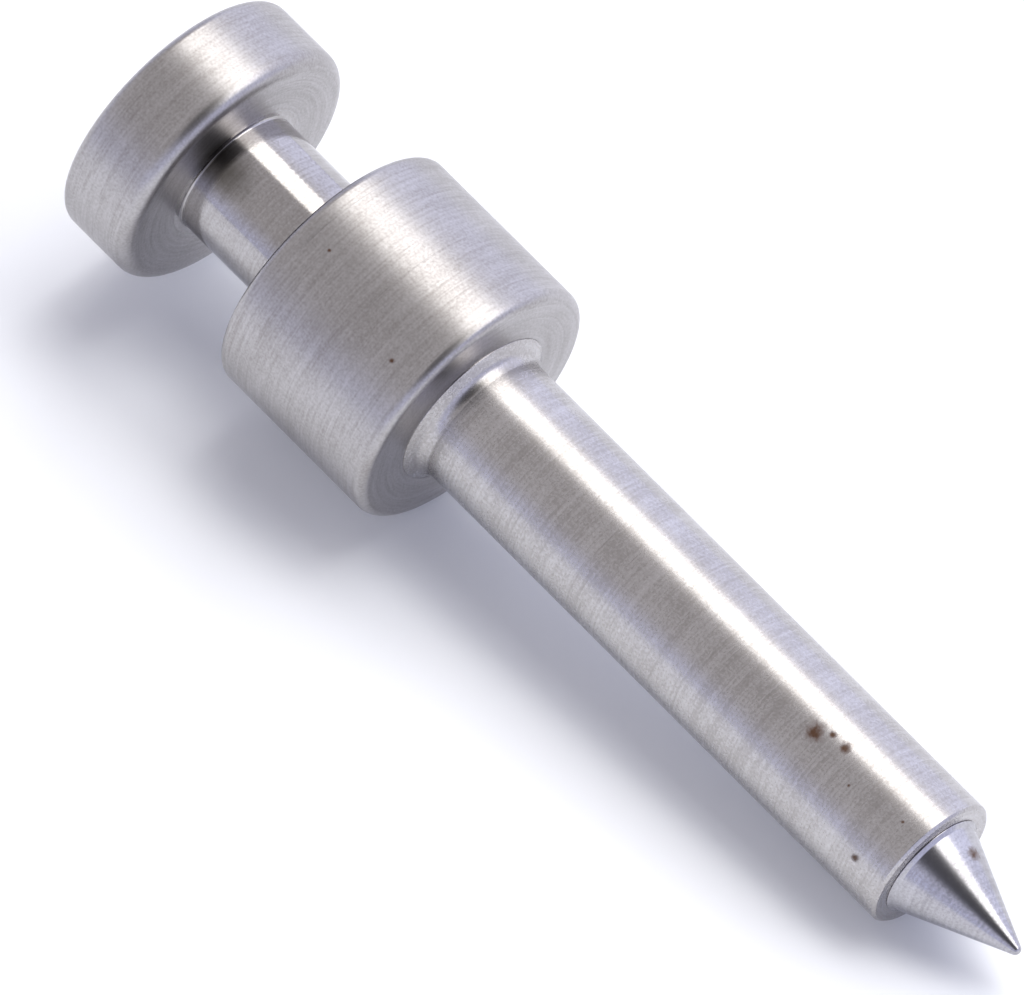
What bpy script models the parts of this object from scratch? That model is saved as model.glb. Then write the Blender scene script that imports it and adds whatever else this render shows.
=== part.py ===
"""Live center: a turned steel point that spins on bearings inside a round housing.

The spin axis is +X, from the tail towards the point, and +Z is up. The origin is the centre of the
tail's rear face. Sizes below are in millimetres and are turned to metres where meshes are made.

From the tail: a disc head and a neck (by which a fork or a T slot holds the center), the housing with
a ball bearing, a thrust bearing and the end of the spindle inside, then the long spindle barrel, which
carries a pressed-in point.
"""

from math import acos, asin, atan2, cos, degrees, hypot, pi, radians, sin, tan

import bmesh
import bpy
from mathutils import Matrix, Vector

MM = 0.001

# Tail stud: disc head, neck and the boss that screws into the housing
HEAD_DIAMETER = 12.7
HEAD_LENGTH = 4.07
HEAD_REAR_ROUND = 0.45
HEAD_FRONT_ROUND = 0.75
NECK_DIAMETER = 6.2
NECK_LENGTH = 6.03
NECK_FILLET = 0.4
BOSS_LENGTH = 1.6
BOSS_STEP = 0.5  # how far the boss stands out past the bearing seat, all round
SPANNER_HOLE_DIAMETER = 0.9
SPANNER_HOLE_DEPTH = 0.8

# Housing
HOUSING_WALL = 1.85  # outside the bearing seat
HOUSING_REAR_ROUND = 0.4
HOUSING_FRONT_ROUND = 0.5
FRONT_WALL = 1.35

# Felt seal, in a pocket behind the front wall
SEAL_WIDTH = 0.5
SEAL_RADIAL = 0.7

# Front ball bearing, 4 x 9 x 2.5 mm
BEARING_BORE = 4.0
BEARING_OUTER_DIAMETER = 9.0
BEARING_WIDTH = 2.5
BEARING_BALL = 1.5
BEARING_BALLS = 8
BEARING_LAND = 0.4  # from the pitch circle to each ring's land
BEARING_EDGE = 0.12

# Thrust ball bearing, 2 x 6 x 3 mm
THRUST_BORE = 2.0
THRUST_OUTER_DIAMETER = 6.0
THRUST_HEIGHT = 3.0
THRUST_BALL = 1.2
THRUST_BALLS = 7
THRUST_GROOVE = 0.15
THRUST_CAGE_THICKNESS = 0.5
THRUST_CAGE_RIM = 0.3  # between a pocket and the cage's edge

# Retaining ring behind the front bearing, and its groove
RETAINING_RING_THICKNESS = 0.3
RETAINING_RING_RADIAL = 0.5
RETAINING_GROOVE_DEPTH = 0.3
RETAINING_RING_OPENING = 50  # degrees
SHOULDER_LENGTH = 0.25  # of spindle left behind the groove

# Spacer sleeve and wave spring round the thrust bearing
SLEEVE_CLEARANCE = 0.4
SPRING_THICKNESS = 0.15
SPRING_WAVE = 0.17
SPRING_WAVES = 3

# Spindle
JOURNAL_STEP = 0.5  # the journal's shoulder over the bearing bore
BARREL_DIAMETER = 6.5
BARREL_LENGTH = 27.81
BARREL_CHAMFER = 0.13
STUB_CHAMFER = 0.15

# Slinger ring in front of the housing
SLINGER_FLARE = 0.7
SLINGER_RIM = 0.06
SLINGER_POCKET_DEPTH = 0.2  # the housing's face is bored out round the slinger ring

# Point
POINT_BASE_DIAMETER = 4.9
POINT_LENGTH = 5.43
POINT_TIP_RADIUS = 0.26
POINT_STEM_DIAMETER = 3.0
POINT_STEM_LENGTH = 6.0

# Rear bush in the neck
BUSH_WALL = 1.0
BUSH_LENGTH = 4.6

# Clearances
FIT = 0.02  # between pieces that press or screw together, and where faces meet
RUN = 0.04  # between pieces that turn past each other
BALL_RUN = 0.04  # between a ball and its grooves
POCKET_RUN = 0.05  # between a ball and its cage pocket
LABYRINTH = 0.08  # between the slinger ring and the housing's face
END_SPACE = 0.4  # at the bottom of a blind bore
DRILL_ANGLE = 118  # degrees, the cone at the bottom of a drilled bore

# Roundness
OUTER_SEGMENTS = 48
INNER_SEGMENTS = 32
ARC_STEPS = 4
MERGE = 1e-4  # points closer than this are one

# Radii that several pieces share
head_r = HEAD_DIAMETER / 2
neck_r = NECK_DIAMETER / 2
seat_r = BEARING_OUTER_DIAMETER / 2 + FIT
boss_r = seat_r + BOSS_STEP
housing_r = BEARING_OUTER_DIAMETER / 2 + HOUSING_WALL
bearing_shaft_r = BEARING_BORE / 2 - FIT
journal_r = BEARING_BORE / 2 + JOURNAL_STEP
stub_r = THRUST_BORE / 2 - RUN
barrel_r = BARREL_DIAMETER / 2
bush_bore_r = stub_r + RUN
bush_r = bush_bore_r + BUSH_WALL
sleeve_bore_r = THRUST_OUTER_DIAMETER / 2 + SLEEVE_CLEARANCE
bearing_pitch_r = (BEARING_BORE + BEARING_OUTER_DIAMETER) / 4
thrust_pitch_r = (THRUST_BORE + THRUST_OUTER_DIAMETER) / 4

# Places along the axis, from the tail towards the point
head_front_x = HEAD_LENGTH
housing_rear_x = head_front_x + NECK_LENGTH
boss_front_x = housing_rear_x + BOSS_LENGTH
thrust_rear_x = boss_front_x + FIT
thrust_front_x = thrust_rear_x + THRUST_HEIGHT
shoulder_x = thrust_front_x + FIT
groove_rear_x = shoulder_x + SHOULDER_LENGTH
ring_rear_x = groove_rear_x + FIT
groove_front_x = ring_rear_x + RETAINING_RING_THICKNESS + FIT
bearing_rear_x = groove_front_x
bearing_front_x = bearing_rear_x + BEARING_WIDTH
wall_rear_x = bearing_front_x + FIT
housing_front_x = wall_rear_x + FRONT_WALL
slinger_pocket_x = housing_front_x - SLINGER_POCKET_DEPTH
slinger_rear_x = slinger_pocket_x + LABYRINTH
slinger_front_x = housing_front_x + LABYRINTH + SLINGER_RIM + SLINGER_FLARE
barrel_rear_x = slinger_front_x + FIT
barrel_front_x = barrel_rear_x + BARREL_LENGTH
tip_x = barrel_front_x + POINT_LENGTH
bearing_mid_x = (bearing_rear_x + bearing_front_x) / 2
thrust_mid_x = (thrust_rear_x + thrust_front_x) / 2
bush_front_x = boss_front_x - FIT
bush_rear_x = bush_front_x - BUSH_LENGTH
stub_rear_x = bush_rear_x + STUB_CHAMFER


def material(name, colour, roughness, metallic=1.0):
    """A Principled material with a plain colour."""
    made = bpy.data.materials.new(name)
    made.use_nodes = True
    shader = made.node_tree.nodes["Principled BSDF"]
    shader.inputs["Base Color"].default_value = (*colour, 1.0)
    shader.inputs["Roughness"].default_value = roughness
    shader.inputs["Metallic"].default_value = metallic
    return made


def arc(centre_x, centre_r, radius, start, end, steps=ARC_STEPS):
    """Points of an arc in the profile plane. Angles are in degrees, 0 along +X and 90 outwards."""
    turns = (radians(start + (end - start) * k / steps) for k in range(steps + 1))
    return [(centre_x + radius * cos(t), centre_r + radius * sin(t)) for t in turns]


def drill_cone(radius):
    """Length of the cone at the bottom of a drilled bore."""
    return radius / tan(radians(DRILL_ANGLE / 2))


def link(name, bm, finish):
    """Puts the mesh, which is in millimetres, in the scene as one smooth-shaded object in metres."""
    bmesh.ops.scale(bm, vec=(MM, MM, MM), verts=bm.verts)
    mesh = bpy.data.meshes.new(name)
    bm.to_mesh(mesh)
    bm.free()
    mesh.shade_smooth()
    mesh.set_sharp_from_angle(angle=radians(30))
    mesh.materials.append(finish)
    made = bpy.data.objects.new(name, mesh)
    bpy.context.scene.collection.objects.link(made)
    return made


def turn(profile, segments, angle=2 * pi):
    """Spins a closed profile of (x, radius) points about the X axis. A part turn keeps flat ends."""
    bm = bmesh.new()
    corners = [bm.verts.new((x, 0.0, r)) for x, r in profile]
    if angle < 2 * pi:
        bm.faces.new(corners)
    else:
        for a, b in zip(corners, corners[1:] + corners[:1]):
            if a.co.z > 0 or b.co.z > 0:
                bm.edges.new((a, b))
    geometry = bm.verts[:] + bm.edges[:] + bm.faces[:]
    bmesh.ops.spin(bm, geom=geometry, cent=(0, 0, 0), axis=(1, 0, 0), angle=angle, steps=segments)
    bmesh.ops.remove_doubles(bm, verts=bm.verts, dist=MERGE)
    bmesh.ops.recalc_face_normals(bm, faces=bm.faces)
    return bm


def turned(name, profile, finish, segments=OUTER_SEGMENTS, angle=2 * pi):
    """One turned piece."""
    return link(name, turn(profile, segments, angle), finish)


def ring(name, inner_r, outer_r, rear_x, front_x, finish, edge=0.0, segments=INNER_SEGMENTS):
    """A plain ring, with its four edges broken by edge."""
    profile = [
        (rear_x, inner_r + edge), (rear_x, outer_r - edge), (rear_x + edge, outer_r),
        (front_x - edge, outer_r), (front_x, outer_r - edge), (front_x, inner_r + edge),
        (front_x - edge, inner_r), (rear_x + edge, inner_r),
    ]
    if edge == 0.0:
        profile = [profile[0], profile[1], profile[4], profile[5]]
    return turned(name, profile, finish, segments)


def cutter(name, bm):
    """A helper that Booleans cut with. It isn't part of the model."""
    made = link(name, bm, STEEL)
    made.hide_render = True
    made.display_type = "WIRE"
    return made


def cut(piece, tool):
    """Cuts tool out of piece."""
    boolean = piece.modifiers.new("cut", "BOOLEAN")
    boolean.operation = "DIFFERENCE"
    boolean.solver = "EXACT"
    boolean.object = tool
    return piece


def around(count, x, radius):
    """The places of count things on a circle round the axis, the first one at the top."""
    angles = (2 * pi * k / count for k in range(count))
    return [Vector((x, -radius * sin(a), radius * cos(a))) for a in angles]


def rods(places, directions, radius, length, segments):
    """Round rods centred on the places, each along its direction, in one mesh."""
    bm = bmesh.new()
    for place, direction in zip(places, directions):
        matrix = Matrix.Translation(place) @ direction.to_track_quat("Z", "Y").to_matrix().to_4x4()
        bmesh.ops.create_cone(
            bm, cap_ends=True, segments=segments, radius1=radius, radius2=radius, depth=length, matrix=matrix
        )
    return bm


def balls(name, count, x, pitch_r, diameter, finish):
    """The balls of a bearing, each its own object. They share one mesh."""
    bm = bmesh.new()
    bmesh.ops.create_uvsphere(bm, u_segments=12, v_segments=8, radius=diameter / 2)
    first = link(f"{name}_1", bm, finish)
    made = [first] + [bpy.data.objects.new(f"{name}_{k}", first.data) for k in range(2, count + 1)]
    for ball, place in zip(made, around(count, x, pitch_r)):
        if ball is not first:
            bpy.context.scene.collection.objects.link(ball)
        ball.location = place * MM
    return made


def tail_stud():
    """Disc head, neck and threaded boss in one piece, bored from the front for the rear bush."""
    bore_r = bush_r + FIT
    bore_end_x = bush_rear_x - END_SPACE
    profile = [
        (0.0, 0.0),
        *arc(HEAD_REAR_ROUND, head_r - HEAD_REAR_ROUND, HEAD_REAR_ROUND, 180, 90),
        *arc(head_front_x - HEAD_FRONT_ROUND, head_r - HEAD_FRONT_ROUND, HEAD_FRONT_ROUND, 90, 0),
        *arc(head_front_x + NECK_FILLET, neck_r + NECK_FILLET, NECK_FILLET, 180, 270),
        (housing_rear_x, neck_r),
        (housing_rear_x, boss_r - FIT),
        (boss_front_x, boss_r - FIT),
        (boss_front_x, bore_r),
        (bore_end_x, bore_r),
        (bore_end_x - drill_cone(bore_r), 0.0),
    ]
    stud = turned("tail_stud", profile, STEEL)
    holes_r = (neck_r + boss_r) / 2
    places = [Vector((housing_rear_x, side * holes_r, 0)) for side in (-1, 1)]
    along = [Vector((1, 0, 0))] * 2
    holes = rods(places, along, SPANNER_HOLE_DIAMETER / 2, 2 * SPANNER_HOLE_DEPTH, 12)
    return cut(stud, cutter("spanner_hole_cutter", holes))


def housing():
    """Round shell, open at the rear for the bearings, with a wall and seal pocket at the front."""
    pocket_r = journal_r + SEAL_RADIAL
    pocket_front_x = wall_rear_x + SEAL_WIDTH + FIT
    opening_r = journal_r + 2 * RUN
    slinger_pocket_r = barrel_r + SLINGER_FLARE + RUN
    rear_arc_x, front_arc_x = housing_rear_x + HOUSING_REAR_ROUND, housing_front_x - HOUSING_FRONT_ROUND
    profile = [
        (housing_rear_x, boss_r),
        *arc(rear_arc_x, housing_r - HOUSING_REAR_ROUND, HOUSING_REAR_ROUND, 180, 90),
        *arc(front_arc_x, housing_r - HOUSING_FRONT_ROUND, HOUSING_FRONT_ROUND, 90, 0),
        (housing_front_x, slinger_pocket_r), (slinger_pocket_x, slinger_pocket_r),
        (slinger_pocket_x, opening_r), (pocket_front_x, opening_r), (pocket_front_x, pocket_r + FIT),
        (wall_rear_x, pocket_r + FIT),
        (wall_rear_x, seat_r),
        (boss_front_x + FIT, seat_r),
        (boss_front_x + FIT, boss_r),
    ]
    return turned("housing", profile, STEEL)


def felt_seal():
    """Felt ring that wipes the journal behind the front wall."""
    outer_r = journal_r + SEAL_RADIAL
    return ring("felt_seal", journal_r + RUN, outer_r, wall_rear_x, wall_rear_x + SEAL_WIDTH, FELT)


def groove_arc(pitch_r, land_r, inwards):
    """A race groove of a radial bearing between its two edges on the land, from rear to front."""
    radius = BEARING_BALL / 2 + BALL_RUN
    half = degrees(asin(abs(land_r - pitch_r) / radius))
    if inwards:
        return arc(bearing_mid_x, pitch_r, radius, 180 + half, 360 - half, 6)
    return arc(bearing_mid_x, pitch_r, radius, 180 - half, half, 6)


def front_bearing():
    """Deep-groove ball bearing: inner ring, outer ring, cage and balls."""
    e = BEARING_EDGE
    rear, front = bearing_rear_x + FIT, bearing_front_x
    bore_r, outer_r = BEARING_BORE / 2, BEARING_OUTER_DIAMETER / 2
    inner_land, outer_land = bearing_pitch_r - BEARING_LAND, bearing_pitch_r + BEARING_LAND
    inner = [
        (rear, bore_r + e), (rear, inner_land),
        *groove_arc(bearing_pitch_r, inner_land, True),
        (front, inner_land), (front, bore_r + e), (front - e, bore_r), (rear + e, bore_r),
    ]
    turned("front_inner_ring", inner, BEARING_STEEL, INNER_SEGMENTS)
    outer = [
        (rear, outer_land),
        *groove_arc(bearing_pitch_r, outer_land, False),
        (front, outer_land), (front, outer_r - e), (front - e, outer_r),
        (rear + e, outer_r), (rear, outer_r - e),
    ]
    turned("front_outer_ring", outer, BEARING_STEEL, INNER_SEGMENTS)

    pocket_r = BEARING_BALL / 2 + POCKET_RUN
    cage_half_width = (bearing_mid_x - rear + pocket_r) / 2
    cage_half_radial = BEARING_LAND - 3 * RUN
    cage = ring(
        "front_cage", bearing_pitch_r - cage_half_radial, bearing_pitch_r + cage_half_radial,
        bearing_mid_x - cage_half_width, bearing_mid_x + cage_half_width, BRASS,
    )
    places = around(BEARING_BALLS, bearing_mid_x, bearing_pitch_r)
    outwards = [(p - Vector((bearing_mid_x, 0, 0))).normalized() for p in places]
    pockets = rods(places, outwards, pocket_r, 4 * cage_half_radial, 12)
    cut(cage, cutter("front_pocket_cutter", pockets))
    balls("front_ball", BEARING_BALLS, bearing_mid_x, bearing_pitch_r, BEARING_BALL, BALL_STEEL)


def thrust_washer(name, back_x, towards):
    """A thrust washer, its back at back_x and its groove facing towards, which is 1 for +X or -1."""
    inner_r, outer_r = THRUST_BORE / 2, THRUST_OUTER_DIAMETER / 2
    groove_r = THRUST_BALL / 2 + BALL_RUN
    face_x = thrust_mid_x - towards * (groove_r - THRUST_GROOVE)
    sweep = degrees(acos((groove_r - THRUST_GROOVE) / groove_r))
    middle = 180 if towards > 0 else 0
    profile = [
        (back_x, inner_r), (back_x, outer_r), (face_x, outer_r),
        *arc(thrust_mid_x, thrust_pitch_r, groove_r, middle - towards * sweep, middle + towards * sweep, 6),
        (face_x, inner_r),
    ]
    return turned(name, profile, BEARING_STEEL, INNER_SEGMENTS)


def thrust_bearing():
    """Thrust ball bearing: a washer on each side, and balls in a flat cage."""
    thrust_washer("thrust_housing_washer", thrust_rear_x, 1)
    thrust_washer("thrust_shaft_washer", thrust_front_x, -1)
    pocket_r = THRUST_BALL / 2 + POCKET_RUN
    half_radial = pocket_r + THRUST_CAGE_RIM
    half_thickness = THRUST_CAGE_THICKNESS / 2
    cage = ring(
        "thrust_cage", max(thrust_pitch_r - half_radial, stub_r + 2 * RUN), thrust_pitch_r + half_radial,
        thrust_mid_x - half_thickness, thrust_mid_x + half_thickness, BRASS,
    )
    places = around(THRUST_BALLS, thrust_mid_x, thrust_pitch_r)
    along = [Vector((1, 0, 0))] * THRUST_BALLS
    cut(cage, cutter("thrust_pocket_cutter", rods(places, along, pocket_r, 4 * half_thickness, 12)))
    balls("thrust_ball", THRUST_BALLS, thrust_mid_x, thrust_pitch_r, THRUST_BALL, BALL_STEEL)


def retaining_ring():
    """Open spring ring in the spindle's groove, which holds the front bearing on."""
    inner_r = bearing_shaft_r - RETAINING_GROOVE_DEPTH + FIT
    outer_r = inner_r + RETAINING_RING_RADIAL
    front_x = ring_rear_x + RETAINING_RING_THICKNESS
    profile = [(ring_rear_x, inner_r), (ring_rear_x, outer_r), (front_x, outer_r), (front_x, inner_r)]
    opening = radians(360 - RETAINING_RING_OPENING)
    return turned("retaining_ring", profile, SPRING_STEEL, INNER_SEGMENTS - 4, opening)


def spacer_sleeve():
    """Sleeve between the front bearing's outer ring and the wave spring."""
    rear_x = boss_front_x + 2 * (SPRING_WAVE + FIT) + SPRING_THICKNESS + 2 * FIT
    outer_r = BEARING_OUTER_DIAMETER / 2
    return ring("spacer_sleeve", sleeve_bore_r, outer_r, rear_x, bearing_rear_x, STEEL, edge=0.1)


def wave_spring():
    """Wavy washer that keeps the front bearing loaded, between the boss and the sleeve."""
    middle_x = boss_front_x + FIT + SPRING_WAVE + SPRING_THICKNESS / 2
    rear_x, front_x = middle_x - SPRING_THICKNESS / 2, middle_x + SPRING_THICKNESS / 2
    inner_r, outer_r = sleeve_bore_r + FIT, BEARING_OUTER_DIAMETER / 2 - 3 * FIT
    bm = turn([(rear_x, inner_r), (rear_x, outer_r), (front_x, outer_r), (front_x, inner_r)], INNER_SEGMENTS)
    for vert in bm.verts:
        vert.co.x += SPRING_WAVE * sin(SPRING_WAVES * atan2(vert.co.y, vert.co.z))
    return link("wave_spring", bm, SPRING_STEEL)


def spindle():
    """Barrel, journal, bearing seat and stub in one piece, bored at the front for the point's stem."""
    c = STUB_CHAMFER
    groove_r = bearing_shaft_r - RETAINING_GROOVE_DEPTH
    stem_bore_r = POINT_STEM_DIAMETER / 2 + FIT
    stem_bore_x = barrel_front_x - POINT_STEM_LENGTH - END_SPACE
    profile = [
        (stub_rear_x, 0.0), (stub_rear_x, stub_r - c), (stub_rear_x + c, stub_r),
        (shoulder_x, stub_r), (shoulder_x, bearing_shaft_r),
        (groove_rear_x, bearing_shaft_r), (groove_rear_x, groove_r),
        (groove_front_x, groove_r), (groove_front_x, bearing_shaft_r),
        (bearing_front_x + FIT, bearing_shaft_r), (bearing_front_x + FIT, journal_r),
        (barrel_rear_x, journal_r), (barrel_rear_x, barrel_r),
        (barrel_front_x - BARREL_CHAMFER, barrel_r), (barrel_front_x, barrel_r - BARREL_CHAMFER),
        (barrel_front_x, stem_bore_r), (stem_bore_x, stem_bore_r),
        (stem_bore_x - drill_cone(stem_bore_r), 0.0),
    ]
    return turned("spindle", profile, STEEL)


def slinger_ring():
    """Ring pressed on the journal that covers the gap in the housing's face and throws off coolant."""
    flare_r = barrel_r + SLINGER_FLARE
    profile = [
        (slinger_rear_x, journal_r + FIT), (slinger_rear_x, flare_r),
        *arc(slinger_front_x, flare_r, SLINGER_FLARE, 180, 270),
        (slinger_front_x, journal_r + FIT),
    ]
    return turned("slinger_ring", profile, STEEL)


def point():
    """Hard cone with a small round tip, and the stem that is pressed into the barrel."""
    base_r, stem_r = POINT_BASE_DIAMETER / 2, POINT_STEM_DIAMETER / 2
    base_x = barrel_front_x + FIT
    stem_rear_x = barrel_front_x - POINT_STEM_LENGTH
    tip_centre_x = tip_x - POINT_TIP_RADIUS
    reach = tip_centre_x - base_x
    half_angle = degrees(atan2(base_r, reach) - asin(POINT_TIP_RADIUS / hypot(reach, base_r)))
    stem_edge = 0.2
    profile = [
        (stem_rear_x, 0.0), (stem_rear_x, stem_r - stem_edge), (stem_rear_x + stem_edge, stem_r),
        (base_x, stem_r), (base_x, base_r),
        *arc(tip_centre_x, 0.0, POINT_TIP_RADIUS, 90 - half_angle, 0),
    ]
    return turned("point", profile, POINT_STEEL)


def rear_bush():
    """Bronze bush in the neck, which steadies the end of the spindle."""
    return ring("rear_bush", bush_bore_r, bush_r, bush_rear_x, bush_front_x, BRONZE, edge=0.12)


for old in list(bpy.data.objects):
    bpy.data.objects.remove(old, do_unlink=True)

STEEL = material("turned_steel", (0.50, 0.50, 0.52), 0.32)
POINT_STEEL = material("point_steel", (0.52, 0.53, 0.56), 0.25)
BEARING_STEEL = material("bearing_steel", (0.62, 0.62, 0.64), 0.15)
BALL_STEEL = material("ball_steel", (0.72, 0.72, 0.74), 0.05)
SPRING_STEEL = material("spring_steel", (0.20, 0.20, 0.22), 0.35)
BRASS = material("cage_brass", (0.76, 0.56, 0.24), 0.3)
BRONZE = material("bush_bronze", (0.58, 0.36, 0.18), 0.4)
FELT = material("grey_felt", (0.25, 0.25, 0.24), 0.95, 0.0)

tail_stud()
rear_bush()
housing()
wave_spring()
spacer_sleeve()
thrust_bearing()
front_bearing()
felt_seal()
retaining_ring()
spindle()
slinger_ring()
point()
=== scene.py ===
"""Looks of a small live center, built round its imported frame.

The center lies on a pale bench. Its outer pieces are turned steel, and the pieces inside its collar
are a ball bearing, a thrust bearing, a felt seal, a bush, a sleeve and two springs.
Sizes in the classes are millimetres; meshes are metres, in the frame's own axes, with +X along the
spin axis from the tail to the point.
"""

import logging
from dataclasses import dataclass
from enum import Enum
from math import acos, asin, atan2, ceil, cos, degrees, hypot, pi, radians, sin, tan
from typing import Sequence

import bpy
from mathutils import Matrix, Vector


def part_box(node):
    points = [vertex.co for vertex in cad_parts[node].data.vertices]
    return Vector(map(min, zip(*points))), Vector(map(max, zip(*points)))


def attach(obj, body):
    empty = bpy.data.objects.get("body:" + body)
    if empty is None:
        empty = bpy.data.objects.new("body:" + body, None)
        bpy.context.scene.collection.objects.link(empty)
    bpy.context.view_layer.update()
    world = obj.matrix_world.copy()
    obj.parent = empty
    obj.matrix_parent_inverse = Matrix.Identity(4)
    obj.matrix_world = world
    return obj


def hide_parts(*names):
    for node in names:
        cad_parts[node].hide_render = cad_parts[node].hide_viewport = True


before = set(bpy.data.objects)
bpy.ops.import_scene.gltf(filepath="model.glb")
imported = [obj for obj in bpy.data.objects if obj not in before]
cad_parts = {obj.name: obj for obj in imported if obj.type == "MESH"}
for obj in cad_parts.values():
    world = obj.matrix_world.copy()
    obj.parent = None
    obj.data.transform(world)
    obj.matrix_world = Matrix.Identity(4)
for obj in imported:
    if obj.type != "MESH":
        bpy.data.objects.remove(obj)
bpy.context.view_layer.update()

MM = 0.001
# painted shade: the dark olive of the neck's root where it meets the head
PAINTED_SHADE_OLIVE = "47433a"
RAGGED_EDGE = 0.22  # mm, the lumps at a rust speck's edge
GRAIN_RANGE = (0.3, 0.7)  # where nearly all of the noise lies
RUST_BROWN = "4a2f1b"
SIDES = 192  # round the large turned pieces
SMALL_SIDES = 96  # round the small pieces inside
ROUND_STEPS = 9  # in a rounded edge
BALL_CUTS = 5  # the balls' subdivision
CAGE_EDGE = 0.04  # mm
MERGE = 2e-8
SMOOTH_ANGLE = radians(15)
FIT = 0.02  # mm, where two pieces meet
PRESSED = 0.003  # mm, the seam that is left where a piece is pressed against another

log = logging.getLogger("live_center")


class Body(str, Enum):
    """Bodies that pieces ride on."""

    HOUSING = "housing_body"
    SPINDLE = "spindle_body"
    FRONT_CAGE = "front_cage_body"
    THRUST_CAGE = "thrust_cage_body"


class Slot(str, Enum):
    """The record's material slots."""

    TURNED_STEEL = "turned_steel"
    POINT_STEEL = "point_steel"
    BEARING_STEEL = "bearing_steel"
    BALL_STEEL = "ball_steel"
    SPRING_STEEL = "spring_steel"
    CAGE_BRASS = "cage_brass"
    BUSH_BRONZE = "bush_bronze"
    GREY_FELT = "grey_felt"


# --- colours and nodes ---------------------------------------------------------------------------


def linear(hex_colour: str) -> tuple[float, float, float, float]:
    """Turn an sRGB hex colour into linear RGBA.

    Args:
        hex_colour: six hex digits, such as "a08040".

    Returns:
        Linear red, green, blue and an alpha of 1.
    """
    channels = [int(hex_colour[i : i + 2], 16) / 255 for i in (0, 2, 4)]
    return (*[c / 12.92 if c <= 0.04045 else ((c + 0.055) / 1.055) ** 2.4 for c in channels], 1.0)


def add_node(tree: bpy.types.NodeTree, kind: str, inputs: dict | None = None, **settings) -> bpy.types.Node:
    """Add one node with its settings, values and links.

    Args:
        tree: the node tree it goes into.
        kind: the node's type name.
        inputs: socket name or number, and the value or the output socket that feeds it.
        settings: the node's own properties.

    Returns:
        The new node.
    """
    made = tree.nodes.new(kind)
    for name, value in settings.items():
        setattr(made, name, value)
    for socket, value in (inputs or {}).items():
        if isinstance(value, bpy.types.NodeSocket):
            tree.links.new(value, made.inputs[socket])
        else:
            made.inputs[socket].default_value = value
    return made


def new_material(name: str) -> tuple[bpy.types.Material, bpy.types.NodeTree, bpy.types.Node]:
    """Make a material with a bare Principled shader.

    Args:
        name: the material's name.

    Returns:
        The material, its node tree and its shader node.
    """
    made = bpy.data.materials.new(name)
    made.use_nodes = True
    return made, made.node_tree, made.node_tree.nodes["Principled BSDF"]


def noise(
    tree: bpy.types.NodeTree, place: bpy.types.NodeSocket, size: float, detail: float
) -> bpy.types.NodeSocket:
    """Make noise whose lumps are size mm across.

    Args:
        tree: the node tree.
        place: the coordinates, in metres.
        size: the lumps' size, in mm.
        detail: octaves of finer noise.

    Returns:
        The noise's socket.
    """
    return add_node(
        tree, "ShaderNodeTexNoise",
        {"Vector": place, "Scale": 1 / (size * MM), "Detail": detail, "Roughness": 0.6},
    ).outputs["Fac"]


def ranged(
    tree: bpy.types.NodeTree, value: bpy.types.NodeSocket, source: tuple[float, float],
    target: tuple[float, float], smooth: bool = True,
) -> bpy.types.NodeSocket:
    """Map a value from one range to another.

    Args:
        tree: the node tree.
        value: the value's socket.
        source: the range that it has.
        target: the range that it gets.
        smooth: whether both ends are eased.

    Returns:
        The mapped value's socket.
    """
    return add_node(
        tree, "ShaderNodeMapRange",
        {
            "Value": value, "From Min": source[0], "From Max": source[1], "To Min": target[0],
            "To Max": target[1],
        },
        interpolation_type="SMOOTHSTEP" if smooth else "LINEAR",
    ).outputs[0]


def mix(
    tree: bpy.types.NodeTree, factor: bpy.types.NodeSocket, first: object, second: object
) -> bpy.types.NodeSocket:
    """Mix two colours.

    Args:
        tree: the node tree.
        factor: the socket that chooses between them.
        first: colour or socket at factor 0.
        second: colour or socket at factor 1.

    Returns:
        The mixed colour's socket.
    """
    return add_node(
        tree, "ShaderNodeMix", {0: factor, 6: first, 7: second}, data_type="RGBA"
    ).outputs[2]


# --- finishes ------------------------------------------------------------------------------------


@dataclass(frozen=True)
class Speck:
    """A rust speck or pit on a turned surface: its place in mm and its radius in mm."""

    x: float
    y: float
    z: float
    radius: float


@dataclass(frozen=True)
class PaintedShade:
    """Painted shade where the neck meets the head: a dark olive patch, its middle, radius and soft edge in
    mm.

    It is drawn out along the axis by stretch, and strength is how much of the steel it hides.
    """

    x: float
    y: float
    z: float
    radius: float
    fade: float
    stretch: float
    strength: float


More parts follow.
